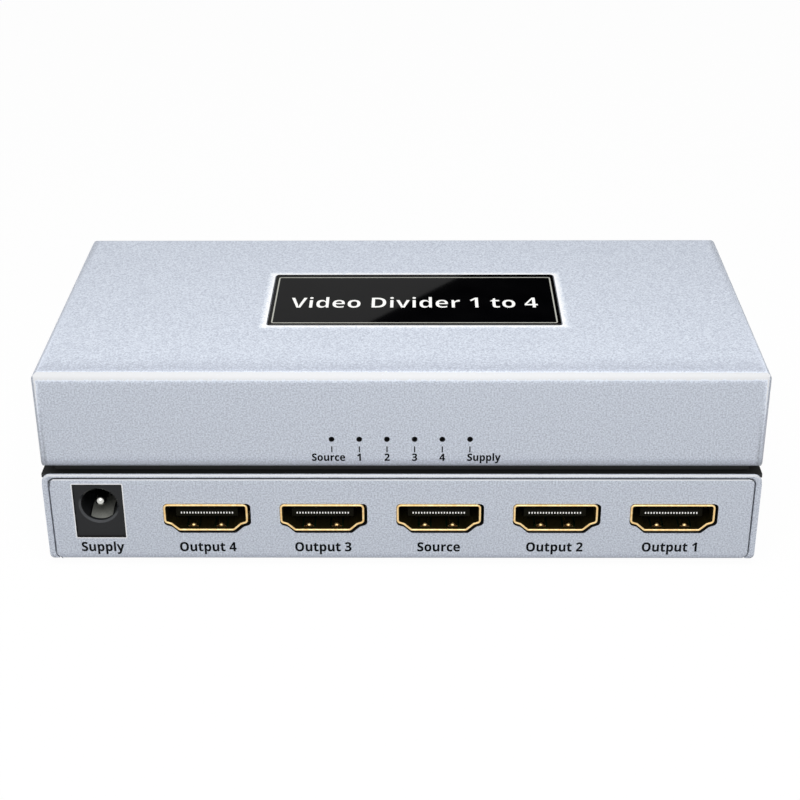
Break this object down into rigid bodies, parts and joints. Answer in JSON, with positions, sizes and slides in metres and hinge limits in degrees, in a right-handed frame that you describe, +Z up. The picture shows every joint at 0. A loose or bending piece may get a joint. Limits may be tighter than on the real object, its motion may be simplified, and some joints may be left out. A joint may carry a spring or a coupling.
{
  "type": "video splitter",
  "caption": "Flat silver video splitter box: rounded cover over a lower box with a black reveal, video sockets and a power socket in the front panel, indicator holes above.",
  "frame": {"origin": "middle of the footprint, on the surface that the feet stand on", "axes": "+X to the right seen from the front, +Y to the back, +Z up; the sockets face -Y"},
  "size_m": [0.125, 0.0612, 0.0384],
  "materials": {
    "silver_paint": "fine-grained silver paint",
    "gloss_plate": "gloss black",
    "black_abs": "moulded black",
    "foot_rubber": "matt rubber",
    "zinc_steel": "zinc plated",
    "board_laminate": "solder mask",
    "socket_pbt": "moulded black",
    "gold_plate": "gold flash over nickel",
    "socket_lcp": "moulded dark brown",
    "contact_plating": "bright plating",
    "spring_metal": "nickel plated spring strip",
    "chip_epoxy": "moulded epoxy",
    "pad_silicone": "soft pad",
    "sink_aluminium": "extruded",
    "can_steel": "drawn can",
    "ferrite": "moulded ferrite",
    "can_aluminium": "drawn can",
    "led_epoxy": "cast lens",
    "header_nylon": "moulded natural",
    "ribbon_pvc": "flat cable"
  },
  "bodies": {
    "case": {"top_cover": "silver_paint", "base_shell": "silver_paint", "front_panel": "silver_paint", "name_plate": "gloss_plate", "deck": "black_abs", "rubber_feet": "foot_rubber", "case_screws": "zinc_steel", "board_screws": "zinc_steel", "indicator_screws": "zinc_steel", "main_board": "board_laminate", "indicator_board": "board_laminate", "jack_body": "socket_pbt", "jack_pin": "contact_plating", "jack_leaf_terminal": "spring_metal", "splitter_chip": "chip_epoxy", "microcontroller": "chip_epoxy", "regulator": "chip_epoxy", "port_protectors": "chip_epoxy", "thermal_pad": "pad_silicone", "heat_sink": "sink_aluminium", "crystal": "can_steel", "power_inductor": "ferrite", "bulk_capacitors": "can_aluminium", "indicator_header": "header_nylon", "main_header": "header_nylon", "ribbon_cable": "ribbon_pvc", "port_shell_1": "gold_plate", "port_insulator_1": "socket_lcp", "port_contacts_1": "contact_plating", "port_shell_2": "gold_plate", "port_insulator_2": "socket_lcp", "port_contacts_2": "contact_plating", "port_shell_3": "gold_plate", "port_insulator_3": "socket_lcp", "port_contacts_3": "contact_plating", "port_shell_4": "gold_plate", "port_insulator_4": "socket_lcp", "port_contacts_4": "contact_plating", "port_shell_5": "gold_plate", "port_insulator_5": "socket_lcp", "port_contacts_5": "contact_plating", "indicator_led_1": "led_epoxy", "indicator_led_2": "led_epoxy", "indicator_led_3": "led_epoxy", "indicator_led_4": "led_epoxy", "indicator_led_5": "led_epoxy", "indicator_led_6": "led_epoxy"},
    "leaf": {"jack_leaf": "spring_metal"}
  },
  "joints": [
    {"name": "leaf_flex", "type": "hinge", "parent": "case", "child": "leaf", "pos_m": [-0.053, -0.02, 0.00875], "axis": [1, 0, 0], "range_deg": [0, 6], "stiffness_Nm_per_rad": 0.1}
  ]
}
